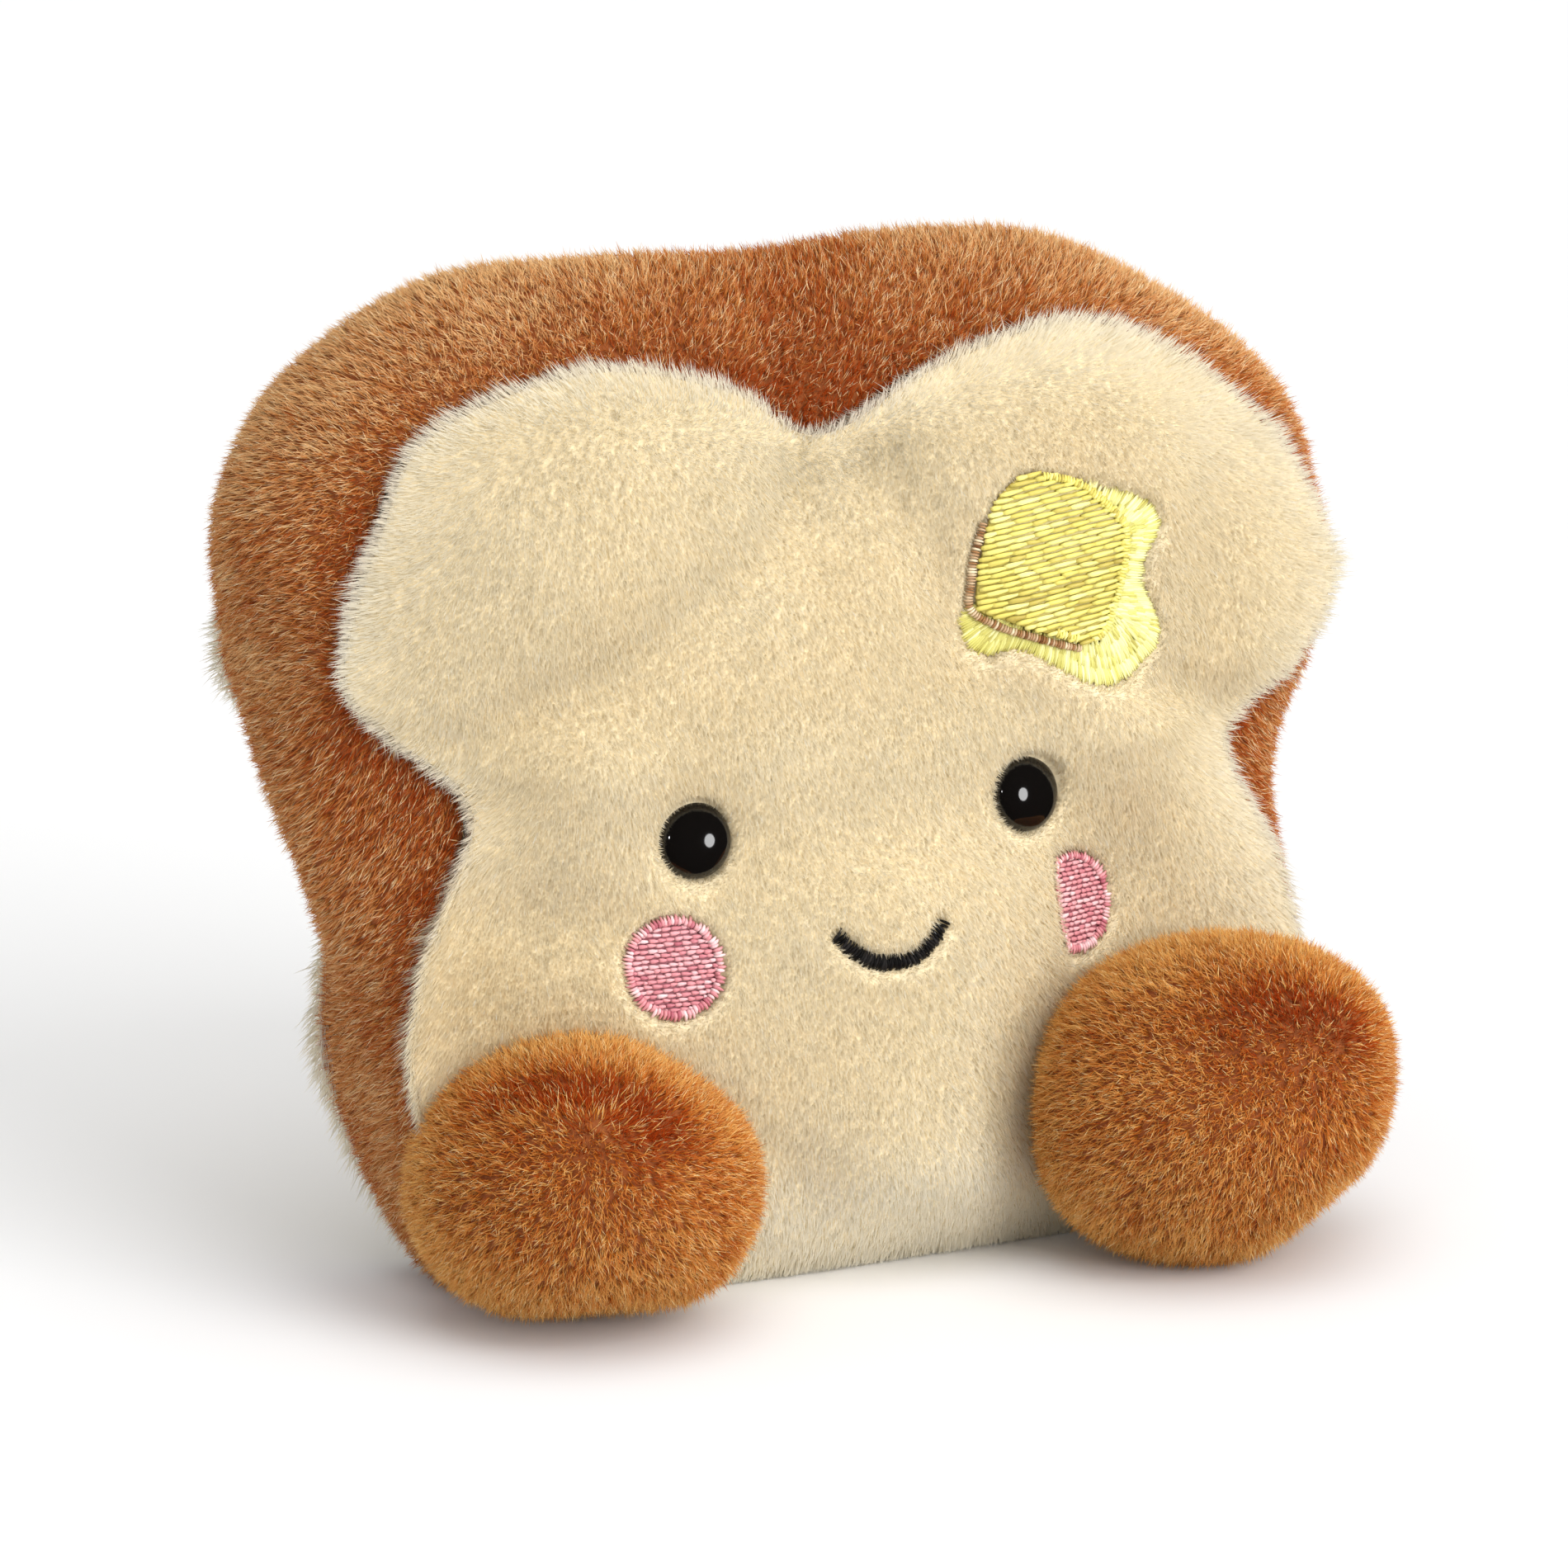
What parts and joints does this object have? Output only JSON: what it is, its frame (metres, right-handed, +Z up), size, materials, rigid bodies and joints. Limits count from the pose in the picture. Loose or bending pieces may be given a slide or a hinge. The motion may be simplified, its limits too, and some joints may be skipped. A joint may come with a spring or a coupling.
{
  "type": "stuffed toy toast slice",
  "caption": "Small stuffed toy shaped as a thick slice of buttered toast, with a brown crust band, pale plush faces, a stitched pat of butter, a simple face and round feet.",
  "frame": {"origin": "middle of the toy's base: the centre of its bounding box, at ground level", "axes": "+Z up, the face looks along -Y, +X to the right as seen from the front"},
  "size_m": [0.1526, 0.0866, 0.1289],
  "materials": {
    "crust_pile": "short brushed pile, toasted brown, lighter at the tips",
    "crumb_pile": "short brushed pile, cream",
    "foot_pile": "short brushed pile, toasted brown",
    "eye_gloss": "polished black dome",
    "cheek_thread": "pink embroidery thread, soft sheen",
    "smile_thread": "black satin stitch",
    "melt_thread": "pale yellow satin stitch, shiny thread",
    "butter_thread": "yellow filling stitch, shiny thread",
    "edge_thread": "tan satin stitch"
  },
  "bodies": {
    "root": {"crust": "crust_pile", "crumb_front": "crumb_pile", "crumb_back": "crumb_pile", "foot_left": "foot_pile", "foot_right": "foot_pile", "eye_left": "eye_gloss", "eye_right": "eye_gloss", "cheek_left": "cheek_thread", "cheek_right": "cheek_thread", "smile": "smile_thread", "butter_melt": "melt_thread", "butter_pat": "butter_thread", "butter_edge": "edge_thread"}
  },
  "joints": []
}
